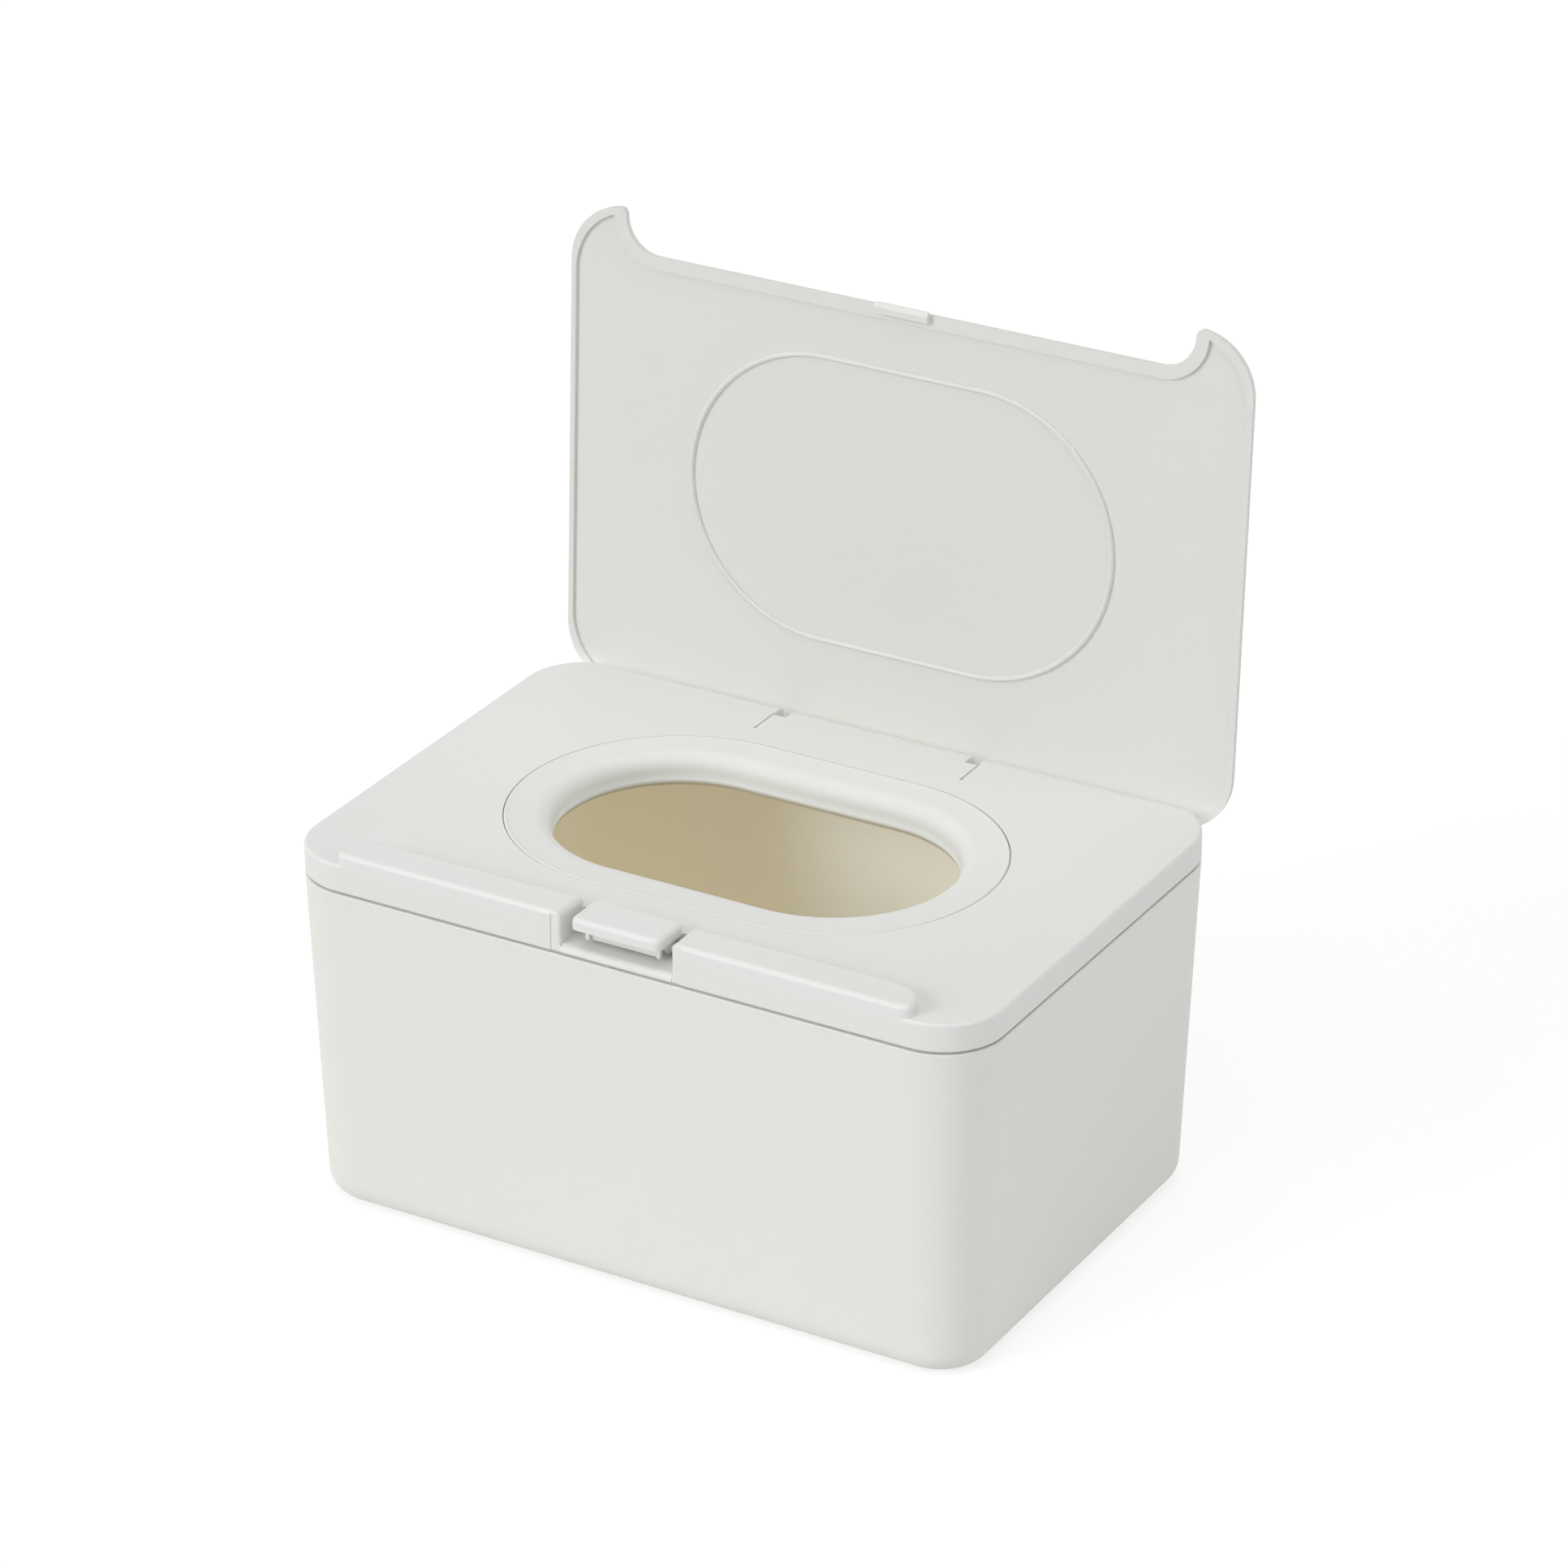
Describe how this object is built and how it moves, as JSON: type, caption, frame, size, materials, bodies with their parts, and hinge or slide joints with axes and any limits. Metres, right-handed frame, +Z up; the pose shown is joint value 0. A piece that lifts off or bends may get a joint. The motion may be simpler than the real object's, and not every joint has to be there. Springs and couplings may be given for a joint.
{
  "type": "wipes dispenser",
  "caption": "Box for baby wipes: tapered tub, lift-off cover with an oval soft-edged mouth, and a flip lid held shut by a sprung press tab. Shown open.",
  "frame": {"origin": "middle of the tub's flat underside, on the surface that it stands on", "axes": "+X to the right along the front, +Y from the front, where the press tab is, to the hinge at the back, +Z up"},
  "size_m": [0.19, 0.1414, 0.2188],
  "materials": {
    "shell_plastic": "fine satin moulded white",
    "soft_ring": "smooth soft white",
    "spring_steel": "bright drawn wire"
  },
  "bodies": {
    "tub": {"tub": "shell_plastic"},
    "cover": {"top_cover": "shell_plastic", "mouth_ring": "soft_ring", "tab_spring": "spring_steel"},
    "lid": {"lid": "shell_plastic"},
    "press_tab": {"press_tab": "shell_plastic"}
  },
  "joints": [
    {"name": "cover_lift", "type": "slide", "parent": "tub", "child": "cover", "axis": [0, 0, 1], "range_m": [0, 0.12]},
    {"name": "lid_hinge", "type": "hinge", "parent": "cover", "child": "lid", "pos_m": [0, 0.0623, 0.092], "axis": [1, 0, 0], "range_deg": [0, 92.63]},
    {"name": "tab_press", "type": "hinge", "parent": "cover", "child": "press_tab", "pos_m": [0, -0.0559, 0.0939], "axis": [1, 0, 0], "range_deg": [0, 11], "stiffness_Nm_per_rad": 0.1, "springref_deg": -5.73, "deforming": ["tab_spring"]}
  ]
}
